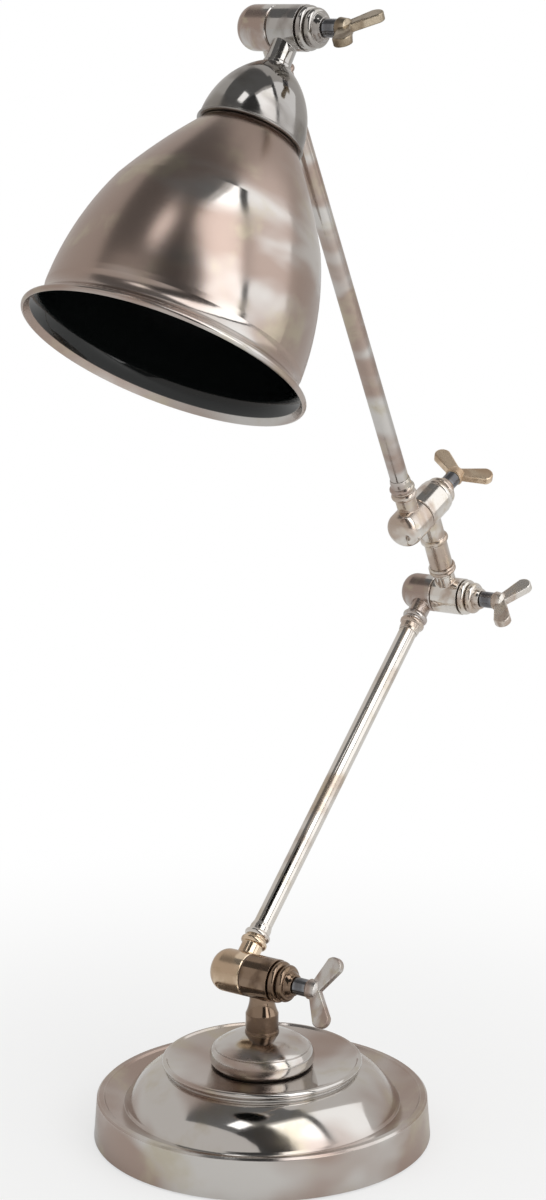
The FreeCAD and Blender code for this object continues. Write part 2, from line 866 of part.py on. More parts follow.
def wing_head(name):
    """The cast wing head: a hub with two flat lobes that sweep forward, round at their ends."""
    body = new_body(f"{name}_wing_head")
    start = stud_seat() + D.shoulder_length
    top = start + D.hub_length
    tail = start + D.stud_grip
    tip = D.wing_width / 2
    sine, cosine = D.wing_sweep.sin(), D.wing_sweep.cos()
    along = (D.wing_span / 2 - tip) / sine
    root = start + D.wing_root

    def lobes(sketch):
        """A swept V: each arm is a bar whose width narrows towards the hub and whose end is round."""
        outline = []
        for hand in (1, -1):
            end_across, end_up = along * sine, root + along * cosine
            outer = (end_across + tip * cosine, end_up - tip * sine)
            inner = (end_across - tip * cosine, end_up + tip * sine)
            low = (0, start + D.wing_foot_gap)
            if hand > 0:
                outline += [low, outer, (*inner, bulge(tip)), (0, root + D.wing_waist / sine)]
            else:
                outline += [(-inner[0], inner[1]), (-outer[0], outer[1], bulge(tip))]
        draw(sketch, outline)

    raise_profile(body, lobes, D.wing_thickness, role="XZ_Plane", midplane=True)
    side = DIMENSIONS["wing_thickness"] / 2
    soften(body, lambda edge: abs(abs(edge.CenterOfMass.y) - side) < 1e-6, D.wing_fillet)
    turn(body, [
        (0, start),
        (D.shoulder_radius + D.hub_foot_step, start),
        (D.hub_radius, start + D.hub_foot_rise),
        (D.hub_radius - D.hub_taper, top - D.hub_crown),
        (0, top, D.hub_crown_curve),
    ])
    foot = start - D.cut_margin
    turn(body, [(0, foot), (D.stud_radius, foot), (D.stud_radius, tail), (0, tail)], cut=True)
    return body


# Arms: local Z runs from one knuckle's axis to the other's

def arm_tube(label, length):
    inner = D.tube_radius - D.tube_wall
    start = D.neck_length
    end = length - D.neck_length
    return turned(label, [(inner, start), (D.tube_radius, start), (D.tube_radius, end), (inner, end)])


# A collar's bead: its length and the radius of its section, in heights of the bead
COLLAR_BEAD_LENGTH = 2.2
COLLAR_BEAD_CURVE = 1.15


def collar(label):
    """A turned ferrule over the end of a tube. Local Z points from the knuckle along the arm."""
    bore = D.tube_radius + D.slip_clearance
    start = D.neck_length
    bead = D.collar_radius - neck_radius()
    end = start + D.collar_length
    return turned(label, [
        (bore, start),
        (neck_radius(), start),
        (neck_radius(), start + COLLAR_BEAD_LENGTH * bead, bead * COLLAR_BEAD_CURVE),
        (neck_radius(), end - D.collar_bevel),
        (bore + D.collar_edge, end),
        (bore, end),
    ])


# Link

def swivel_ring():
    """The bearing ring of the swivel, with two beads. Local Z points up the link from the elbow's axis."""
    bore = D.swivel_bolt_radius + D.slip_clearance
    start = D.link_neck
    half_way = start + D.swivel_ring_length / 2
    end = start + D.swivel_ring_length
    crest = D.swivel_ring_radius - D.swivel_ring_length / 4
    bead = bulge(D.swivel_ring_length / 4)
    return turned("swivel_ring", [
        (bore, start), (crest, start), (crest, half_way, bead), (crest, end, bead), (bore, end)])


def swivel_bolt():
    bottom = D.elbow_radius - D.barrel_wall + D.neck_bore_overlap
    shoulder = D.link_length - wrist_neck_length() + D.swivel_shoulder + D.running_gap
    top = shoulder + D.swivel_head_length
    bore = D.wire_bore_radius
    return turned("swivel_bolt", [
        (bore, bottom),
        (D.swivel_bolt_radius, bottom),
        (D.swivel_bolt_radius, shoulder),
        (D.swivel_head_radius, shoulder),
        (D.swivel_head_radius, top),
        (bore, top),
    ])


# Shade: local Z is the shade's axis, with the mouth's plane at z = 0 and the head knuckle's axis above it

def cap_foot():
    return D.bell_top_height + D.shade_wall


def cap_top():
    return cap_foot() + D.cap_height


def gallery_radius():
    """The hole in the bell's flat top, round the lampholder's skirt."""
    return D.holder_radius + D.gallery_gap


def bell_top_radius():
    return gallery_radius() + D.gallery_width


def cap_radius():
    return bell_top_radius() + D.cap_overhang


def cap_seat_radius():
    """The inside of the cap's hem, which rests on the bell's flat top."""
    return bell_top_radius() - D.shade_wall - D.cap_seat


def bell_shade():
    """The spun bell: a rolled rim, a short flare, two long curves and a flat gallery at the top."""
    wall = D.shade_wall
    roll = D.rim_roll
    roll_centre = D.mouth_radius - roll
    flare_foot = roll * 2 + D.flare_foot_gap
    flare = D.bell_waist_radius + D.flare_width
    knee = D.bell_top_height
    waist_end = D.flare_height + D.bell_waist_length
    return turned("bell_shade", [
        (roll_centre, 0),
        (roll_centre, 2 * roll, bulge(roll)),
        (flare, flare_foot, -2 * roll),
        (D.bell_waist_radius, D.flare_height, -D.flare_curve),
        (D.bell_waist_radius, waist_end),
        (D.bell_break_radius, D.bell_break_height, D.bell_lower_curve),
        (bell_top_radius(), knee, D.bell_upper_curve),
        (bell_top_radius() - wall, knee + wall, wall),
        (gallery_radius(), knee + wall),
        (gallery_radius(), knee),
        (bell_top_radius() - wall, knee),
        (D.bell_break_radius - wall, D.bell_break_height - D.bell_break_drop, wall - D.bell_upper_curve),
        (D.bell_waist_radius - wall, waist_end, wall - D.bell_lower_curve),
        (D.bell_waist_radius - wall, D.flare_height),
        (flare - D.flare_wall_across, flare_foot - D.flare_wall_up, D.flare_curve + wall),
    ])


def shade_cap():
    """The domed cap over the lampholder, with a hem turned in at its foot that rests on the bell."""
    wall = D.shade_wall
    radius = cap_radius()
    foot = cap_foot()
    top = cap_top()
    bore = D.rod_radius + D.slip_clearance
    lip = D.cap_lip
    crown = D.link_neck_radius + D.cap_crown_margin
    return turned("shade_cap", [
        (cap_seat_radius(), foot),
        (radius, foot),
        (radius, foot + lip, lip / 2),
        (crown, top, D.cap_curve),
        (bore, top),
        (bore, top - wall),
        (crown, top - wall),
        (radius - wall, foot + lip, wall - D.cap_curve),
        (radius - wall, foot + wall),
        (cap_seat_radius(), foot + wall),
    ])


def nipple_span():
    """The lowest and highest places of the nipple along the shade's axis."""
    return cap_top() - D.nipple_drop, D.shade_reach - D.knuckle_radius + D.barrel_wall


def head_nipple():
    low, high = nipple_span()
    inside = D.rod_radius - D.rod_wall
    return turned("head_nipple", [(inside, low), (D.rod_radius, low), (D.rod_radius, high), (inside, high)])


def nipple_nut():
    level = cap_top() - D.shade_wall - D.nipple_nut_height
    return hex_nut("nipple_nut", D.nipple_nut_flats, D.nipple_nut_height, D.rod_radius, level)


def holder_top():
    return cap_top() - D.shade_wall - D.nipple_nut_height - D.holder_nut_gap


def contact_floor():
    return holder_top() - D.holder_floor_depth


def shell_top():
    """The screw shell's seat, far enough below the floor that the contact's tongue hangs clear above the bore."""
    return contact_floor() - D.contact_drop - D.contact_thickness - D.contact_gap


def lampholder():
    """The moulded lampholder: a domed top, a flange that stands on the bell's gallery, and an open skirt."""
    top = holder_top()
    flange = cap_foot()
    bottom = flange - D.holder_drop
    cavity = D.holder_radius - D.holder_wall
    flange_radius = cap_seat_radius() - D.holder_flange_gap
    chamber = cavity - D.shell_lip + D.chamber_margin
    body = D.holder_radius - D.holder_step
    socket = top - D.nipple_socket
    floor = contact_floor()
    return turned("lampholder_body", [
        (cavity, bottom),
        (D.holder_radius, bottom),
        (D.holder_radius, flange),
        (flange_radius, flange),
        (flange_radius, flange + D.holder_flange),
        (body, flange + D.holder_flange),
        (body, top - D.holder_dome_height),
        (D.holder_dome_radius, top, D.holder_dome_curve),
        (D.rod_radius + D.slip_clearance, top),
        (D.rod_radius + D.slip_clearance, socket),
        (D.wire_bore_radius, socket),
        (D.wire_bore_radius, floor),
        (chamber, floor),
        (chamber, shell_top()),
        (cavity, shell_top()),
    ])


def lampholder_shell():
    """The metal screw shell for the bulb's cap."""
    outer = D.holder_radius - D.holder_wall - D.shell_gap
    inner = outer - D.shell_wall
    top = shell_top()
    lip = inner - D.shell_lip
    return turned("lampholder_shell", [
        (inner, top - D.shell_length),
        (outer, top - D.shell_length),
        (outer, top),
        (lip, top),
        (lip, top - D.shell_wall),
        (inner, top - D.shell_wall),
    ])


def lampholder_contact():
    """The centre contact: a strip on the lampholder's floor, bent down to meet the bulb."""
    body = new_body("lampholder_contact")
    top = contact_floor()
    thick = D.contact_thickness
    drop = top - D.contact_drop
    bend = top - D.contact_bend
    tip = D.contact_centre_gap - D.wire_bore_radius
    foot = D.wire_bore_radius + D.contact_foot_gap
    knee = D.contact_knee + D.contact_slope
    reach = D.holder_radius - D.holder_wall - D.contact_wall_gap
    raise_profile(body, lambda sketch: draw(sketch, [
        (foot, top),
        (foot, top - thick),
        (reach - D.contact_knee, top - thick),
        (reach - knee, bend),
        (tip, drop),
        (tip, drop - thick),
        (reach - D.contact_knee - D.contact_taper, bend - thick),
        (reach, top - thick),
        (reach, top),
    ]), D.contact_width, role="XZ_Plane", midplane=True)
    return body


def shade_ring():
    """The ring that clamps the bell to the lampholder, with a wider edge to turn it by."""
    inner = D.holder_radius + D.slip_clearance
    outer = bell_top_radius() - D.shade_wall - D.shade_ring_gap
    top = D.bell_top_height
    bottom = top - D.shade_ring_length
    return turned("shade_ring", [
        (inner, bottom),
        (outer - D.shade_ring_step, bottom),
        (outer - D.shade_ring_step, top - D.shade_ring_edge),
        (outer, top - D.shade_ring_edge),
        (outer, top),
        (inner, top),
    ])


# The rest pose: each knuckle's seam and the directions of its axis and necks, found from the foot upwards

def turned_about(axis, degrees, vector):
    return FreeCAD.Rotation(axis, degrees).multVec(vector)


def rest_pose():
    value = DIMENSIONS
    screw = screw_neck_offset().value
    plain = plain_neck_offset().value
    up = Vector(0, 0, 1)
    side = Vector(0, -1, 0)
    lean = Vector(0, 1, 0)
    lower = turned_about(lean, value["lower_arm_lean"], up)
    foot = Vector(0, 0, value["foot_axis_height"]) - side * screw
    elbow = foot + lower * value["lower_arm_length"]
    link = turned_about(lean, value["link_lean"], up)
    wrist_axis = turned_about(link, value["wrist_turn"], side)
    wrist = elbow + side * screw + link * value["link_length"] - wrist_axis * screw
    upper = turned_about(wrist_axis, value["upper_arm_tilt"], link)
    head_axis = turned_about(upper, value["head_turn"], wrist_axis)
    head = wrist - wrist_axis * plain + upper * value["upper_arm_length"] + head_axis * plain
    shade = turned_about(head_axis, -value["shade_tilt"], upper)
    mouth = head + head_axis * screw - shade * value["shade_reach"]
    return {
        "foot": (foot, side, -up, lower),
        "elbow": (elbow, side, link, -lower),
        "wrist": (wrist, wrist_axis, -link, upper),
        "head": (head, head_axis, -shade, -upper),
        "link": (elbow + side * screw, link, side),
        "shade": (mouth, shade, head_axis),
    }


def build_knuckle(name, pose, radius, screw_half, wing_turn):
    seam, axis, screw_neck, plain_neck = pose
    screw_half.Placement = frame(seam, axis, screw_neck)
    plain_half = arm_half(f"{name}_plain_half", radius)
    plain_half.Placement = frame(seam, axis, plain_neck)
    collar_body = collar(f"{name}_collar")
    neck_centre = seam - axis * plain_neck_offset().value
    collar_body.Placement = frame(neck_centre, plain_neck, axis)
    for body in (friction_washer(name, radius), end_cap(name, radius), spring_washer(name)):
        body.Placement = frame(seam, axis, screw_neck)
    across = turned_about(axis, wing_turn, screw_neck)
    for body in (stud(name), wing_head(name)):
        body.Placement = frame(seam, axis, across)


# Degrees from the screw-side neck's direction to each wing's plane, as the photograph shows the wings
WING_TURNS = {"foot": -26.0, "elbow": 95.0, "wrist": 110.0, "head": -35.0}


def build():
    pose = rest_pose()
    for make in (base_felt, base_cover, base_weight, base_boss, stem_column, tie_rod, tie_washer, tie_nut,
                 cable_bush):
        make()
    build_knuckle("foot", pose["foot"], D.knuckle_radius, stem_half(), WING_TURNS["foot"])
    build_knuckle("elbow", pose["elbow"], D.elbow_radius, link_half(), WING_TURNS["elbow"])
    build_knuckle("wrist", pose["wrist"], D.elbow_radius, wrist_half(), WING_TURNS["wrist"])
    build_knuckle("head", pose["head"], D.knuckle_radius, head_half(), WING_TURNS["head"])
    arms = (("lower", "foot", D.lower_arm_length), ("upper", "wrist", D.upper_arm_length))
    for name, start, length in arms:
        seam, axis, _, direction = pose[start]
        tube = arm_tube(f"{name}_arm_tube", length)
        tube.Placement = frame(seam - axis * plain_neck_offset().value, direction, axis)
    for make in (swivel_ring, swivel_bolt):
        make().Placement = frame(*pose["link"])
    for make in (bell_shade, shade_cap, head_nipple, nipple_nut, lampholder, lampholder_shell,
                 lampholder_contact, shade_ring):
        make().Placement = frame(*pose["shade"])


def check_and_write():
    DOC.recompute()
    failed = [item.Label for item in DOC.Objects if "Invalid" in item.State or "Error" in item.State]
    if failed:
        raise RuntimeError(f"these did not build: {failed}")
    bodies = [item for item in DOC.Objects if item.TypeId == "PartDesign::Body"]
    for body in bodies:
        if body.Shape.isNull() or not body.Shape.isValid():
            raise RuntimeError(f"{body.Label} is not a valid solid")
        if len(body.Shape.Solids) != 1:
            raise RuntimeError(f"{body.Label} has {len(body.Shape.Solids)} solids")
    os.makedirs("parts", exist_ok=True)
    for body in bodies:
        body.Shape.exportStep(f"parts/{body.Label}.step")
    print(f"{len(bodies)} parts written")


build()
check_and_write()
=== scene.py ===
import json
import math

import bmesh
import bpy
from mathutils import Matrix, Vector


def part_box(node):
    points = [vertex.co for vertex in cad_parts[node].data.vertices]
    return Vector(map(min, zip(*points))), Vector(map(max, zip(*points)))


# The finishes of a table lamp with jointed arms and a bell shade, and the studio that it is seen in
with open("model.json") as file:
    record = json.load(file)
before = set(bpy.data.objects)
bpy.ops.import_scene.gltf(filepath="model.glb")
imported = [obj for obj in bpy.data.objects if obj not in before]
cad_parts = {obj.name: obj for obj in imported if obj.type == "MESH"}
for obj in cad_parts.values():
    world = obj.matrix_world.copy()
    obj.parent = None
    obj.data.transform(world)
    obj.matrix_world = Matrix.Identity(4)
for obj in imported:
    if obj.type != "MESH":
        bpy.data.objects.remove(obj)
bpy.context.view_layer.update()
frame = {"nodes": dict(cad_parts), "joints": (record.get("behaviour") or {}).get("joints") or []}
NODES = frame["nodes"]
JOINTS = {joint["name"]: joint for joint in frame["joints"]}
MM = 0.001
X_AXIS, Y_AXIS, Z_AXIS = Vector((1, 0, 0)), Vector((0, 1, 0)), Vector((0, 0, 1))
QUARTER_TURN = 90.0

# The camera stands where the photograph was taken from. Its place is in metres, and its lens and picture are
# in millimetres. Its heading is the way it looks, from X towards Y, and its pitch how far down, in degrees.
CAMERA_PLACE = Vector((-1.0407, -0.7167, 0.5413))
CAMERA_HEADING = 34.29
CAMERA_PITCH = 11.22
CAMERA_LENS = 75.13
PICTURE_LONG_SIDE = 36.0
CAMERA_NEAREST, CAMERA_FURTHEST = 0.05, 50.0


# Places taken from the frame

def joint_place(name):
    return Vector(JOINTS[name]["pos_m"])


def joint_axis(name):
    return Vector(JOINTS[name]["axis"]).normalized()


def middle(node):
    low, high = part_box(node)
    return (Vector(low) + Vector(high)) / 2


NEARLY_ALONG_X = 0.9


def turning_axis(origin, up):
    """A matrix at origin whose Z is up, the axis that a turned or spun piece is round."""
    up = up.normalized()
    aside = X_AXIS if abs(up.x) < NEARLY_ALONG_X else Y_AXIS
    side = up.cross(aside).normalized()
    across = side.cross(up)
    turned = Matrix((across, side, up)).transposed().to_4x4()
    return Matrix.Translation(origin) @ turned


FOOT = joint_place("foot_tilt")
ELBOW = joint_place("elbow_tilt")
WRIST = joint_place("wrist_tilt")
HEAD = joint_place("head_tilt")
BASE_AXIS = turning_axis(Vector((0, 0, 0)), Z_AXIS)
LOWER_AXIS = turning_axis(middle("lower_arm_tube"), ELBOW - FOOT)
UPPER_AXIS = turning_axis(middle("upper_arm_tube"), middle("head_collar") - middle("wrist_collar"))
LINK_AXIS = turning_axis(joint_place("link_swivel"), joint_axis("link_swivel"))
SHADE_AXIS = turning_axis(middle("lampholder_shell"), middle("head_nipple") - middle("lampholder_shell"))
KNUCKLE_AXES = {
    "foot": turning_axis(FOOT, joint_axis("foot_wing_turn")),
    "elbow": turning_axis(ELBOW, joint_axis("elbow_wing_turn")),
    "wrist": turning_axis(WRIST, joint_axis("wrist_tilt")),
    "head": turning_axis(HEAD, joint_axis("head_tilt")),
}


# Small tools for node trees

class Tree:
    """Adds nodes to a material's or a group's node tree and links them."""

    # The first, second and result sockets of a Mix node, which are told apart only by their place
    MIX_SOCKETS = {"RGBA": (6, 7, 2), "FLOAT": (2, 3, 0)}

    def __init__(self, tree):
        self.tree = tree

    def add(self, kind, inputs=None, **settings):
        """A new node; each input is a value, or the socket of a node before it."""
        node = self.tree.nodes.new(kind)
        for name, value in settings.items():
            setattr(node, name, value)
        for key, value in (inputs or {}).items():
            self.feed(node.inputs[key], value)
        return node

    def feed(self, socket, value):
        """Links the socket or sets its value; a colour is given as red, green and blue."""
        if isinstance(value, bpy.types.NodeSocket):
            self.tree.links.new(value, socket)
        elif socket.type == "RGBA":
            socket.default_value = (*value, 1)
        else:
            socket.default_value = value

    def math(self, operation, *values, clamp=False):
        node = self.add("ShaderNodeMath", dict(enumerate(values)), operation=operation, use_clamp=clamp)
        return node.outputs[0]

    def dot(self, first, second):
        node = self.add("ShaderNodeVectorMath", {0: first, 1: second}, operation="DOT_PRODUCT")
        return node.outputs["Value"]

    def mix(self, share, first, second, kind="RGBA"):
        """Goes from first to second: colours, or numbers where kind is FLOAT."""
        first_socket, second_socket, result = self.MIX_SOCKETS[kind]
        inputs = {0: share, first_socket: first, second_socket: second}
        return self.add("ShaderNodeMix", inputs, data_type=kind).outputs[result]

    def noise(self, vector, scale, detail, roughness=0.5, distortion=0.0):
        inputs = {"Vector": vector, "Scale": scale, "Detail": detail, "Roughness": roughness,
                  "Distortion": distortion}
        return self.add("ShaderNodeTexNoise", inputs).outputs["Fac"]

    def spread(self, value, low, high, to_low=0.0, to_high=1.0):
        """Takes low..high to to_low..to_high with soft ends."""
        inputs = {"Value": value, "From Min": low, "From Max": high, "To Min": to_low, "To Max": to_high}
        return self.add("ShaderNodeMapRange", inputs, interpolation_type="SMOOTHSTEP").outputs["Result"]

    def bump(self, depth, strength=1.0, **inputs):
        """A normal bent by the Height given, which stands for depth in metres."""
        inputs.update(Distance=depth, Strength=strength)
        return self.add("ShaderNodeBump", inputs).outputs[0]

    def own_place(self):
        """A point's place in the piece's own coordinates, in metres."""
        return self.add("ShaderNodeTexCoord").outputs["Object"]

    def place_round(self, axis):
        """A point's place with Z along the axis."""
        inverse = axis.inverted()
        inputs = {"Vector": self.own_place(), "Location": inverse.translation,
                  "Rotation": inverse.to_euler("XYZ")}
        return self.add("ShaderNodeMapping", inputs).outputs[0]

    def normal_round(self, axis):
        """The surface's normal with Z along the axis."""
        normal = self.add("ShaderNodeTexCoord").outputs["Normal"]
        inputs = {"Vector": normal, "Rotation": axis.inverted().to_euler("XYZ")}
        return self.add("ShaderNodeMapping", inputs, vector_type="NORMAL").outputs[0]

    def surface(self, shader):
        self.add("ShaderNodeOutputMaterial", {"Surface": shader.outputs[0]})


def new_group(name, inputs, outputs):
    """A shader node group, its tree tools, and its input and output nodes."""
    group = bpy.data.node_groups.new(name, "ShaderNodeTree")
    for way, sockets in (("INPUT", inputs), ("OUTPUT", outputs)):
        for socket_name, kind in sockets.items():
            group.interface.new_socket(socket_name, in_out=way, socket_type=f"NodeSocket{kind}")
    tree = Tree(group)
    return group, tree, tree.add("NodeGroupInput").outputs, tree.add("NodeGroupOutput").inputs


def new_material(name):
    """A material with an empty node tree, and the tools for that tree."""
    material = bpy.data.materials.new(name)
    material.use_nodes = True
    material.node_tree.nodes.clear()
    return material, Tree(material.node_tree)


# Tarnish lies on plate in clouds drawn out round the turning axis, and in smaller stains. A cloud is where
# its noise is over a level, which falls as the cover grows, with a soft edge below and above the level.
CLOUD_STRETCH = (0.7, 0.7, 1.3)
STAINS_PER_CLOUD = 2.3
STAIN_SHARE = 0.7
STAIN_DULLNESS = 0.6
BARE_LEVEL = 0.78
LEVEL_PER_COVER = 0.5
EDGE_BELOW, EDGE_ABOVE = 0.10, 0.08


def patina_group():
    """Cloudy tarnish on old plate, with its colour and a mask of where it is dull."""
    group, tree, given, result = new_group(
        "patina",
        {"Vector": "Vector", "Polished": "Color", "Tarnished": "Color", "Stain": "Color",
         "Cloud Scale": "Float", "Cover": "Float"},
        {"Color": "Color", "Tarnish": "Float"})
    stretched = tree.add("ShaderNodeMapping", {"Vector": given["Vector"], "Scale": CLOUD_STRETCH}).outputs[0]
    clouds = tree.noise(stretched, given["Cloud Scale"], detail=3.0, roughness=0.5, distortion=0.3)
    stain_scale = tree.math("MULTIPLY", given["Cloud Scale"], STAINS_PER_CLOUD)
    stains = tree.noise(given["Vector"], stain_scale, detail=4.0, roughness=0.55, distortion=0.2)
    level = tree.math("SUBTRACT", BARE_LEVEL, tree.math("MULTIPLY", given["Cover"], LEVEL_PER_COVER))
    cloud_mask = tree.spread(
        clouds, low=tree.math("SUBTRACT", level, EDGE_BELOW), high=tree.math("ADD", level, EDGE_ABOVE))
    stain_mask = tree.spread(stains, low=0.5, high=0.72)
    colour = tree.mix(cloud_mask, given["Polished"], given["Tarnished"])
    colour = tree.mix(tree.math("MULTIPLY", stain_mask, STAIN_SHARE), colour, given["Stain"])
    tree.feed(result["Color"], colour)
    dull_stains = tree.math("MULTIPLY", stain_mask, STAIN_DULLNESS)
    tree.feed(result["Tarnish"], tree.math("MAXIMUM", cloud_mask, dull_stains))
    return group


# Rings follow each other along the axis, and outwards at this share of that rate, so flat faces have them too
RINGS_OUTWARD = 0.62


def spun_group():
    """The height of fine rings left by turning or spinning, about the Z axis of the vector given."""
    group, tree, given, result = new_group(
        "spun_rings", {"Vector": "Vector", "Rings per Metre": "Float"}, {"Height": "Float"})
    x, y, z = tree.add("ShaderNodeSeparateXYZ", {"Vector": given["Vector"]}).outputs
    radius = tree.math("SQRT", tree.math("ADD", tree.math("MULTIPLY", x, x), tree.math("MULTIPLY", y, y)))
    along = tree.math("ADD", z, tree.math("MULTIPLY", radius, RINGS_OUTWARD))
    inputs = {"W": along, "Scale": given["Rings per Metre"], "Detail": 3.0, "Roughness": 0.7}
    rings = tree.add("ShaderNodeTexNoise", inputs, noise_dimensions="1D")
    tree.feed(result["Height"], rings.outputs["Fac"])
    return group


def wear_and_shade_group():
    """Rounded edges and two masks: edges rubbed bright, and corners found by ambient occlusion, which stand
    for dirt and painted shade.
    """
    group, tree, given, result = new_group(
        "wear_and_shade",
        {"Edge Radius": "Float", "Shade and Dirt Reach": "Float"},
        {"Normal": "Vector", "Rubbed": "Float", "Shade and Dirt": "Float"})
    rounded = tree.add("ShaderNodeBevel", {"Radius": given["Edge Radius"]}, samples=6).outputs[0]
    flat = tree.add("ShaderNodeNewGeometry").outputs["Normal"]
    likeness = tree.dot(rounded, flat)
    open_air = tree.add("ShaderNodeAmbientOcclusion", {"Distance": given["Shade and Dirt Reach"]}, samples=8)
    tree.feed(result["Normal"], rounded)
    tree.feed(result["Rubbed"], tree.spread(likeness, low=0.995, high=0.85))
    # The corners' mask is ambient occlusion, so it marks where shade falls as well as where dirt would lie
    tree.feed(result["Shade and Dirt"], tree.spread(open_air.outputs["AO"], low=0.75, high=0.2))
    return group


PATINA = patina_group()
SPUN = spun_group()
WEAR_AND_SHADE = wear_and_shade_group()

# What every plated or turned piece shares
RINGS_PER_METRE = 900.0
RING_DEPTH = 0.003 * MM
EDGE_RADIUS = 0.4 * MM
# In corners found by ambient occlusion the colour is painted darker, as painted shade with dirt, and the
# surface is made duller
SHADE_AND_DIRT_REACH = 2.5 * MM
SHADE_AND_DIRT_COLOUR = (0.10, 0.075, 0.06)
SHADE_AND_DIRT_SHARE = 0.6
GRIME_DULLNESS = 0.25
RUBBED_GAIN = 1.35
RUBBED_SHARE = 0.7


def plated(name, axis, polished, tarnished, stain, cloud_scale, cover=0.5, roughness=(0.09, 0.24)):
    """Old plate or bare metal: patina clouds, spun rings, rubbed edges, and corners painted darker and made
    duller, for painted shade and dirt.

    The first roughness is of polished metal and the second of tarnish."""
    material, tree = new_material(name)
    place = tree.place_round(axis)
    patina = tree.add("ShaderNodeGroup", {
        "Vector": place, "Polished": polished, "Tarnished": tarnished, "Stain": stain,
        "Cloud Scale": cloud_scale, "Cover": cover,
    }, node_tree=PATINA).outputs
    rings = tree.add("ShaderNodeGroup", {"Vector": place, "Rings per Metre": RINGS_PER_METRE}, node_tree=SPUN)
    wear_and_shade_inputs = {"Edge Radius": EDGE_RADIUS, "Shade and Dirt Reach": SHADE_AND_DIRT_REACH}
    wear_and_shade = tree.add("ShaderNodeGroup", wear_and_shade_inputs, node_tree=WEAR_AND_SHADE).outputs
    rubbed_colour = tuple(min(1.0, channel * RUBBED_GAIN) for channel in polished)
    colour = tree.mix(tree.math("MULTIPLY", wear_and_shade["Rubbed"], RUBBED_SHARE), patina["Color"], rubbed_colour)
    # Painted shade: corners that ambient occlusion finds are darkened towards a brown, for shade and dirt
    # together
    colour = tree.mix(tree.math("MULTIPLY", wear_and_shade["Shade and Dirt"], SHADE_AND_DIRT_SHARE), colour, SHADE_AND_DIRT_COLOUR)
    dullness = tree.spread(patina["Tarnish"], 0.0, 1.0, *roughness)
    dullness = tree.math("ADD", dullness, tree.math("MULTIPLY", wear_and_shade["Shade and Dirt"], GRIME_DULLNESS), clamp=True)
    normal = tree.bump(RING_DEPTH, Height=rings.outputs["Height"], Normal=wear_and_shade["Normal"])
    tree.surface(tree.add("ShaderNodeBsdfPrincipled", {
        "Base Color": colour, "Metallic": 1.0, "Roughness": dullness, "Normal": normal,
    }))
    return material


# The metals: their colours where they are polished, tarnished and stained
SILVER = {"polished": (0.65, 0.625, 0.60), "tarnished": (0.42, 0.325, 0.28), "stain": (0.54, 0.48, 0.36)}
PALE_SILVER = {"polished": (0.80, 0.76, 0.71), "tarnished": (0.54, 0.44, 0.37), "stain": (0.64, 0.55, 0.42)}
DARK_SILVER = {"polished": (0.52, 0.50, 0.48), "tarnished": (0.36, 0.33, 0.31), "stain": (0.42, 0.40, 0.35)}
# Silver painted darker for the domed cap, as painted shade for the dark reflection that the cap shows
SHADE_DARKENED_SILVER = {"polished": (0.41, 0.395, 0.38), "tarnished": (0.26, 0.24, 0.225),
                 "stain": (0.33, 0.31, 0.27)}
GOLDEN = {"polished": (0.88, 0.71, 0.53), "tarnished": (0.58, 0.43, 0.30), "stain": (0.52, 0.39, 0.26)}
AGED_BRASS = {"polished": (0.44, 0.37, 0.28), "tarnished": (0.26, 0.20, 0.14), "stain": (0.30, 0.25, 0.17)}
BRONZE = {"polished": (0.30, 0.215, 0.155), "tarnished": (0.15, 0.10, 0.07), "stain": (0.22, 0.15, 0.09)}
STEEL = {"polished": (0.30, 0.31, 0.33), "tarnished": (0.16, 0.16, 0.17), "stain": (0.18, 0.17, 0.16)}
BRASS = {"polished": (0.62, 0.47, 0.22), "tarnished": (0.42, 0.30, 0.14), "stain": (0.34, 0.26, 0.15)}

# Dust on the black pieces: how much paler and rougher it is than what it lies on
DUST_SHARE = 0.5
DUST_GAIN = 2.5
DUST_LIFT = 0.01
DUST_ROUGHNESS = 0.15


def dusty_black(name, colour, roughness, ripple_scale, ripple_depth):
    """Enamel or moulded plastic: near black, with a slight ripple in its gloss and a little dust."""
    material, tree = new_material(name)
    place = tree.own_place()
    ripple = tree.noise(place, ripple_scale, detail=2.0)
    dust = tree.spread(tree.noise(place, scale=90.0, detail=6.0, roughness=0.7), low=0.45, high=0.8)
    dust_colour = tuple(channel * DUST_GAIN + DUST_LIFT for channel in colour)
    tree.surface(tree.add("ShaderNodeBsdfPrincipled", {
        "Base Color": tree.mix(tree.math("MULTIPLY", dust, DUST_SHARE), colour, dust_colour),
        "Roughness": tree.spread(dust, 0.0, 1.0, roughness, roughness + DUST_ROUGHNESS),
        "Normal": tree.bump(ripple_depth, Height=ripple),
    }))
    return material


def moulded_black():
    return dusty_black("moulded_black", (0.015, 0.015, 0.016), roughness=0.35, ripple_scale=500.0,
                       ripple_depth=0.03 * MM)


def black_enamel():
    return dusty_black("black_enamel", (0.006, 0.007, 0.008), roughness=0.12, ripple_scale=120.0,
                       ripple_depth=0.06 * MM)


# The enamel inside the bell starts above the rolled rim, with a short soft edge. A face that looks down is
# inside too, and wholly so from TOP_START above the middle of the lampholder's shell.
RIM_HEIGHT = 3.4 * MM
ENAMEL_EDGE = 0.4 * MM
TOP_START = 10 * MM
LINING = {
    "Base Color": ("RGBA", (0.004, 0.005, 0.005)),
    "Metallic": ("FLOAT", 0.0),
    "Roughness": ("FLOAT", 0.09),
}


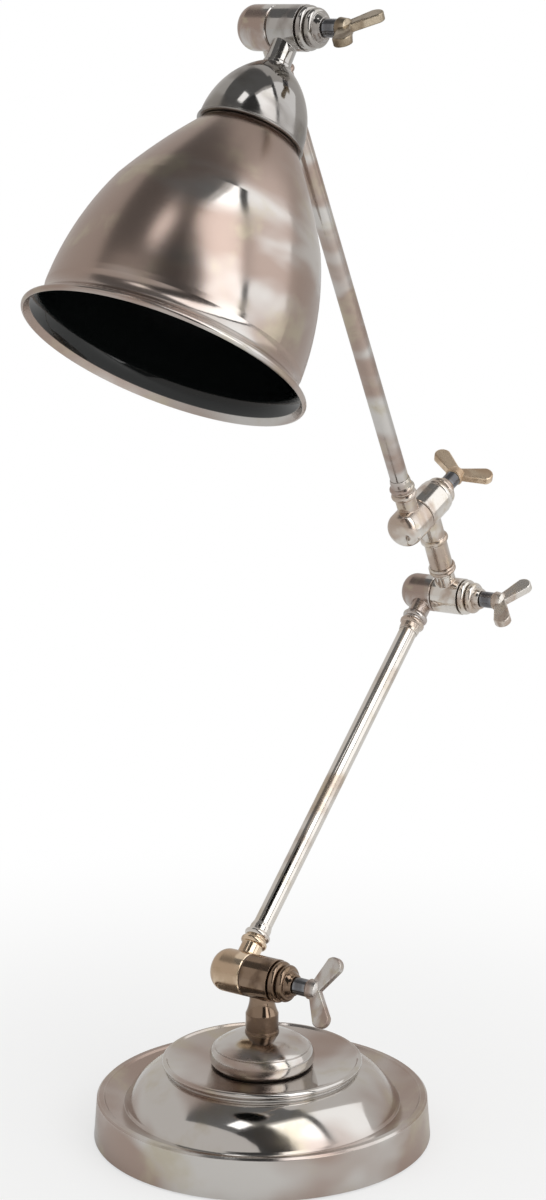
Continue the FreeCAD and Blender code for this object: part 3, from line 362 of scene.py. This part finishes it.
def enamelled(material, axis, rim, top):
    """Lines a turned shell with black enamel above its rim: where it looks in, or down under its top."""
    tree = Tree(material.node_tree)
    shader = next(node for node in material.node_tree.nodes if node.type == "BSDF_PRINCIPLED")
    place = tree.place_round(axis)
    normal = tree.normal_round(axis)
    out = tree.add("ShaderNodeVectorMath", {0: place, 1: (1, 1, 0)}, operation="MULTIPLY").outputs[0]
    out = tree.add("ShaderNodeVectorMath", {0: out}, operation="NORMALIZE").outputs[0]
    upward = tree.add("ShaderNodeSeparateXYZ", {"Vector": normal}).outputs["Z"]
    height = tree.add("ShaderNodeSeparateXYZ", {"Vector": place}).outputs["Z"]
    looks_in = tree.spread(tree.dot(normal, out), low=-0.16, high=-0.10, to_low=1.0, to_high=0.0)
    looks_down = tree.spread(upward, low=-0.6, high=-0.5, to_low=1.0, to_high=0.0)
    under_top = tree.math("MULTIPLY", looks_down, tree.spread(height, 0.0, top))
    above_rim = tree.spread(height, rim, rim + ENAMEL_EDGE)
    enamel = tree.math("MULTIPLY", tree.math("MAXIMUM", looks_in, under_top), above_rim)
    for name, (kind, lining) in LINING.items():
        socket = shader.inputs[name]
        plate = socket.links[0].from_socket if socket.links else socket.default_value
        tree.feed(socket, tree.mix(enamel, plate, lining, kind))


def grained(name, grain_scale, detail, hollows, tops, depth, plain):
    """A dull surface of fine grain or fibres; plain holds the values that are the same all over it."""
    material, tree = new_material(name)
    grain = tree.noise(tree.own_place(), grain_scale, detail, roughness=0.7)
    tree.surface(tree.add("ShaderNodeBsdfPrincipled", {
        "Base Color": tree.mix(grain, hollows, tops),
        "Normal": tree.bump(depth, strength=0.8, Height=grain),
        **plain,
    }))
    return material


def felt():
    return grained("felt", 2600.0, detail=4.0, hollows=(0.02, 0.022, 0.02), tops=(0.075, 0.08, 0.07),
                   depth=0.3 * MM, plain={"Roughness": 0.95, "Sheen Weight": 0.4})


def cast_iron():
    return grained("cast_iron", 900.0, detail=5.0, hollows=(0.03, 0.03, 0.032), tops=(0.10, 0.095, 0.09),
                   depth=0.4 * MM, plain={"Roughness": 0.75, "Metallic": 0.4})


def washer_fibre():
    return grained("washer_fibre", 1500.0, detail=4.0, hollows=(0.05, 0.03, 0.02), tops=(0.14, 0.09, 0.06),
                   depth=0.1 * MM, plain={"Roughness": 0.8})


# The finish of each piece

MOULDED_BLACK = moulded_black()
WASHER_FIBRE = washer_fibre()

# The metals of each knuckle's plain half, screw side and wing head
KNUCKLE_METALS = {
    "foot": (GOLDEN, BRONZE, SILVER),
    "elbow": (SILVER, PALE_SILVER, PALE_SILVER),
    "wrist": (PALE_SILVER, PALE_SILVER, GOLDEN),
    "head": (SILVER, DARK_SILVER, AGED_BRASS),
}


def paint(material, *nodes):
    for node in nodes:
        slots = NODES[node].data.materials
        slots.clear()
        slots.append(material)


def paint_base():
    paint(felt(), "base_felt")
    paint(cast_iron(), "base_weight")
    paint(plated("base_plate", BASE_AXIS, **SILVER, cloud_scale=13.0, cover=0.55), "base_cover")
    boss = plated("boss_plate", BASE_AXIS, **SILVER, cloud_scale=35.0, cover=0.4, roughness=(0.12, 0.3))
    paint(boss, "base_boss")
    paint(plated("stem_bronze", BASE_AXIS, **BRONZE, cloud_scale=60.0, cover=0.6), "stem_column")
    paint(plated("base_steel", BASE_AXIS, **STEEL, cloud_scale=60.0), "tie_rod", "tie_washer", "tie_nut")
    paint(MOULDED_BLACK, "cable_bush")


def paint_knuckle(name):
    axis = KNUCKLE_AXES[name]
    plain_metal, screw_metal, wing_metal = KNUCKLE_METALS[name]
    barrel = plated(f"{name}_barrel", axis, **plain_metal, cloud_scale=60.0)
    screw_side = plated(f"{name}_screw_side", axis, **screw_metal, cloud_scale=60.0)
    wing = plated(f"{name}_wing", axis, **wing_metal, cloud_scale=70.0, roughness=(0.26, 0.44))
    steel = plated(f"{name}_steel", axis, **STEEL, cloud_scale=80.0)
    paint(barrel, f"{name}_plain_half")
    paint(screw_side, f"{name}_screw_half", f"{name}_end_cap")
    paint(WASHER_FIBRE, f"{name}_friction_washer")
    paint(steel, f"{name}_spring_washer", f"{name}_stud")
    paint(wing, f"{name}_wing_head")


def paint_arms():
    lower = plated("lower_arm_plate", LOWER_AXIS, **PALE_SILVER, cloud_scale=25.0, cover=0.4)
    paint(lower, "lower_arm_tube", "foot_collar", "elbow_collar")
    upper = plated("upper_arm_plate", UPPER_AXIS, **SILVER, cloud_scale=25.0, cover=0.6)
    paint(upper, "upper_arm_tube", "wrist_collar", "head_collar")


def paint_link():
    paint(plated("link_plate", LINK_AXIS, **PALE_SILVER, cloud_scale=60.0), "swivel_ring")
    paint(plated("link_steel", LINK_AXIS, **STEEL, cloud_scale=60.0), "swivel_bolt")


def paint_shade():
    bell = plated("shade_plate", SHADE_AXIS, **SILVER, cloud_scale=15.0, cover=0.6)
    to_axis = SHADE_AXIS.inverted()
    mouth = min((to_axis @ vertex.co).z for vertex in NODES["bell_shade"].data.vertices)
    enamelled(bell, SHADE_AXIS, rim=mouth + RIM_HEIGHT, top=TOP_START)
    paint(bell, "bell_shade")
    # The cap's plate is the darkened silver, which is painted shade
    paint(plated("cap_plate", SHADE_AXIS, **SHADE_DARKENED_SILVER, cloud_scale=30.0, cover=0.5), "shade_cap")
    paint(plated("shade_steel", SHADE_AXIS, **STEEL, cloud_scale=60.0), "head_nipple", "nipple_nut")
    paint(MOULDED_BLACK, "lampholder_body")
    paint(black_enamel(), "shade_ring")
    contact_brass = plated("contact_brass", SHADE_AXIS, **BRASS, cloud_scale=80.0)
    paint(contact_brass, "lampholder_shell", "lampholder_contact")


# The studio: a pale floor and world, one soft box for light, and a dome of panels that only the metal shows

def bearing_vector(degrees):
    """A level direction from the lamp: 0 points at the camera and positive is to its right in the picture."""
    heading = math.radians(CAMERA_HEADING)
    look = Vector((math.cos(heading), math.sin(heading), 0))
    right = Vector((math.sin(heading), -math.cos(heading), 0))
    turn = math.radians(degrees)
    return right * math.sin(turn) - look * math.cos(turn)


def new_object(name, data):
    thing = bpy.data.objects.new(name, data)
    bpy.context.scene.collection.objects.link(thing)
    return thing


def new_mesh(name, shape, material):
    """A mesh of that material, made from a bmesh."""
    mesh = bpy.data.meshes.new(name)
    shape.to_mesh(mesh)
    shape.free()
    mesh.materials.append(material)
    return mesh


def soft_box(bearing, distance, height, size, radiance):
    """An area light that isn't seen itself, not even in the metal; radiance 1 is as bright as white."""
    light = bpy.data.lights.new("soft_box", "AREA")
    light.shape = "RECTANGLE"
    light.size, light.size_y = size
    light.energy = radiance * math.pi * math.prod(size)
    box = new_object("soft_box", light)
    back = bearing_vector(bearing)
    box.location = back * distance + Z_AXIS * height
    box.rotation_euler = (-back).to_track_quat("-Z", "Y").to_euler()
    box.visible_camera = False
    box.visible_glossy = False


# The dome is part of a globe round the lamp, and each of its panels is a net of HOOD_STEPS rows and columns.
# A panel's sides are angles to the left and right of the upright plane at HOOD_BEARING. Its rises are angles
# in that plane, from level, through overhead at 90, and down behind the lamp.
HOOD_RADIUS = 2.6
HOOD_CENTRE = Z_AXIS * 0.3
HOOD_STEPS = 32
HOOD_BEARING = 40.0

# The edges of the panels, first the sides and then the rises
CLOTH_LEFT = -36.0
WINDOW_LEFT = -9.0
WINDOW_RIGHT = 17.0
GAP_RIGHT = 22.0
SIDE_WINDOW_RIGHT = 60.0
TOP_LIGHT_LEFT = -28.0
TOP_LIGHT_RIGHT = -15.0
BEHIND_RIGHT = 18.0
PANEL_FOOT = -4.0
WINDOW_TOP = 72.0
WALL_TOP = 76.0
TOP_LIGHT_START = 80.0
TOP_LIGHT_END = 92.0
DOME_END = 126.0

# How bright the panels are, where 1 is as bright as white
CLOTH = 0.06
CEILING = 0.16
SIDE_WINDOW = 1.25
TOP_LIGHT = 2.0
WINDOW = 2.1


def even_angles(start, end):
    """The angles of a panel's rows or columns, in radians, from its two edges in degrees."""
    return [math.radians(start + (end - start) * step / HOOD_STEPS) for step in range(HOOD_STEPS + 1)]


def hood_panel(name, sides, rises, radiance):
    """A panel of the dome, which only reflections show."""
    ahead = bearing_vector(HOOD_BEARING)
    right = bearing_vector(HOOD_BEARING + QUARTER_TURN)
    net = bmesh.new()
    rows = []
    for rise in even_angles(*rises):
        level = ahead * math.cos(rise) + Z_AXIS * math.sin(rise)
        outs = [level * math.cos(side) + right * math.sin(side) for side in even_angles(*sides)]
        rows.append([net.verts.new(HOOD_CENTRE + out * HOOD_RADIUS) for out in outs])
    for lower, upper in zip(rows, rows[1:]):
        for column in range(HOOD_STEPS):
            net.faces.new((lower[column], lower[column + 1], upper[column + 1], upper[column]))
    material, tree = new_material(name)
    tree.surface(tree.add("ShaderNodeEmission", {"Color": (radiance, radiance, radiance), "Strength": 1.0}))
    panel = new_object(name, new_mesh(name, net, material))
    for ray in ("camera", "diffuse", "shadow", "transmission"):
        setattr(panel, f"visible_{ray}", False)


def reflected_studio():
    """What the metal shows: two windows with dark cloths beside them, and a dark ceiling with one light."""
    walls = (PANEL_FOOT, WALL_TOP)
    ahead = (WALL_TOP, TOP_LIGHT_START)
    overhead = (TOP_LIGHT_START, TOP_LIGHT_END)
    behind = (TOP_LIGHT_END, DOME_END)
    hood_panel("dark_cloth", (CLOTH_LEFT, WINDOW_LEFT), walls, CLOTH)
    hood_panel("window", (WINDOW_LEFT, WINDOW_RIGHT), (PANEL_FOOT, WINDOW_TOP), WINDOW)
    hood_panel("dark_gap", (WINDOW_RIGHT, GAP_RIGHT), walls, CLOTH)
    hood_panel("side_window", (GAP_RIGHT, SIDE_WINDOW_RIGHT), (PANEL_FOOT, TOP_LIGHT_START), SIDE_WINDOW)
    hood_panel("ceiling_ahead", (CLOTH_LEFT, GAP_RIGHT), ahead, CEILING)
    hood_panel("ceiling_left", (CLOTH_LEFT, TOP_LIGHT_LEFT), overhead, CEILING)
    hood_panel("top_light", (TOP_LIGHT_LEFT, TOP_LIGHT_RIGHT), overhead, TOP_LIGHT)
    hood_panel("ceiling_right", (TOP_LIGHT_RIGHT, GAP_RIGHT), overhead, CEILING)
    hood_panel("ceiling_behind", (CLOTH_LEFT, BEHIND_RIGHT), behind, CEILING)


# The floor, in metres. To the camera it is pure white from FLOOR_WHITE_FROM outwards. Nearer than FLOOR_NEAR,
# a share of FLOOR_NEAR_SHARE is white, and the rest is its own colour, which keeps the shadow.
FLOOR_RADIUS = 9.0
FLOOR_SIDES = 96
FLOOR_GAP = 0.2 * MM
FLOOR_COLOUR = (0.86, 0.86, 0.85)
FLOOR_NEAR = 0.12
FLOOR_WHITE_FROM = 0.55
FLOOR_NEAR_SHARE = 0.62


def studio_floor():
    material, tree = new_material("floor")
    matt = tree.add("ShaderNodeBsdfPrincipled", {"Base Color": FLOOR_COLOUR, "Roughness": 0.9})
    white = tree.add("ShaderNodeEmission", {"Color": (1, 1, 1), "Strength": 1.0})
    seen = tree.add("ShaderNodeLightPath").outputs["Is Camera Ray"]
    distance = tree.add("ShaderNodeVectorMath", {0: tree.own_place()}, operation="LENGTH").outputs["Value"]
    share = tree.spread(distance, FLOOR_NEAR, FLOOR_WHITE_FROM, to_low=FLOOR_NEAR_SHARE)
    inputs = {0: tree.math("MULTIPLY", seen, share), 1: matt.outputs[0], 2: white.outputs[0]}
    tree.surface(tree.add("ShaderNodeMixShader", inputs))
    disc = bmesh.new()
    bmesh.ops.create_circle(disc, cap_ends=True, segments=FLOOR_SIDES, radius=FLOOR_RADIUS)
    floor = new_object("floor", new_mesh("floor", disc, material))
    floor.location.z = -FLOOR_GAP


# What the world shows: to the camera, to the metal where no panel covers it, and to everything else
WORLD_SEEN = (1, 1, 1)
WORLD_REFLECTED = (0.62, 0.60, 0.58)
WORLD_LIGHT = (0.72, 0.72, 0.72)


def studio_world():
    world = bpy.data.worlds.new("studio")
    bpy.context.scene.world = world
    world.use_nodes = True
    world.node_tree.nodes.clear()
    tree = Tree(world.node_tree)
    path = tree.add("ShaderNodeLightPath").outputs
    colour = tree.mix(path["Is Glossy Ray"], WORLD_LIGHT, WORLD_REFLECTED)
    colour = tree.mix(path["Is Camera Ray"], colour, WORLD_SEEN)
    background = tree.add("ShaderNodeBackground", {"Color": colour, "Strength": 1.0})
    tree.add("ShaderNodeOutputWorld", {"Surface": background.outputs[0]})


def photo_camera():
    lens = bpy.data.cameras.new("camera")
    lens.sensor_width = PICTURE_LONG_SIDE
    lens.lens = CAMERA_LENS
    lens.clip_start, lens.clip_end = CAMERA_NEAREST, CAMERA_FURTHEST
    camera = new_object("camera", lens)
    camera.location = CAMERA_PLACE
    camera.rotation_euler = (math.radians(QUARTER_TURN - CAMERA_PITCH), 0,
                             math.radians(CAMERA_HEADING - QUARTER_TURN))
    bpy.context.scene.camera = camera


photo_camera()
studio_world()
studio_floor()
soft_box(bearing=35.0, distance=1.7, height=0.75, size=(1.3, 1.9), radiance=2.4)
reflected_studio()
paint_base()
for knuckle in KNUCKLE_AXES:
    paint_knuckle(knuckle)
paint_arms()
paint_link()
paint_shade()
bpy.context.scene.view_settings.view_transform = "Standard"
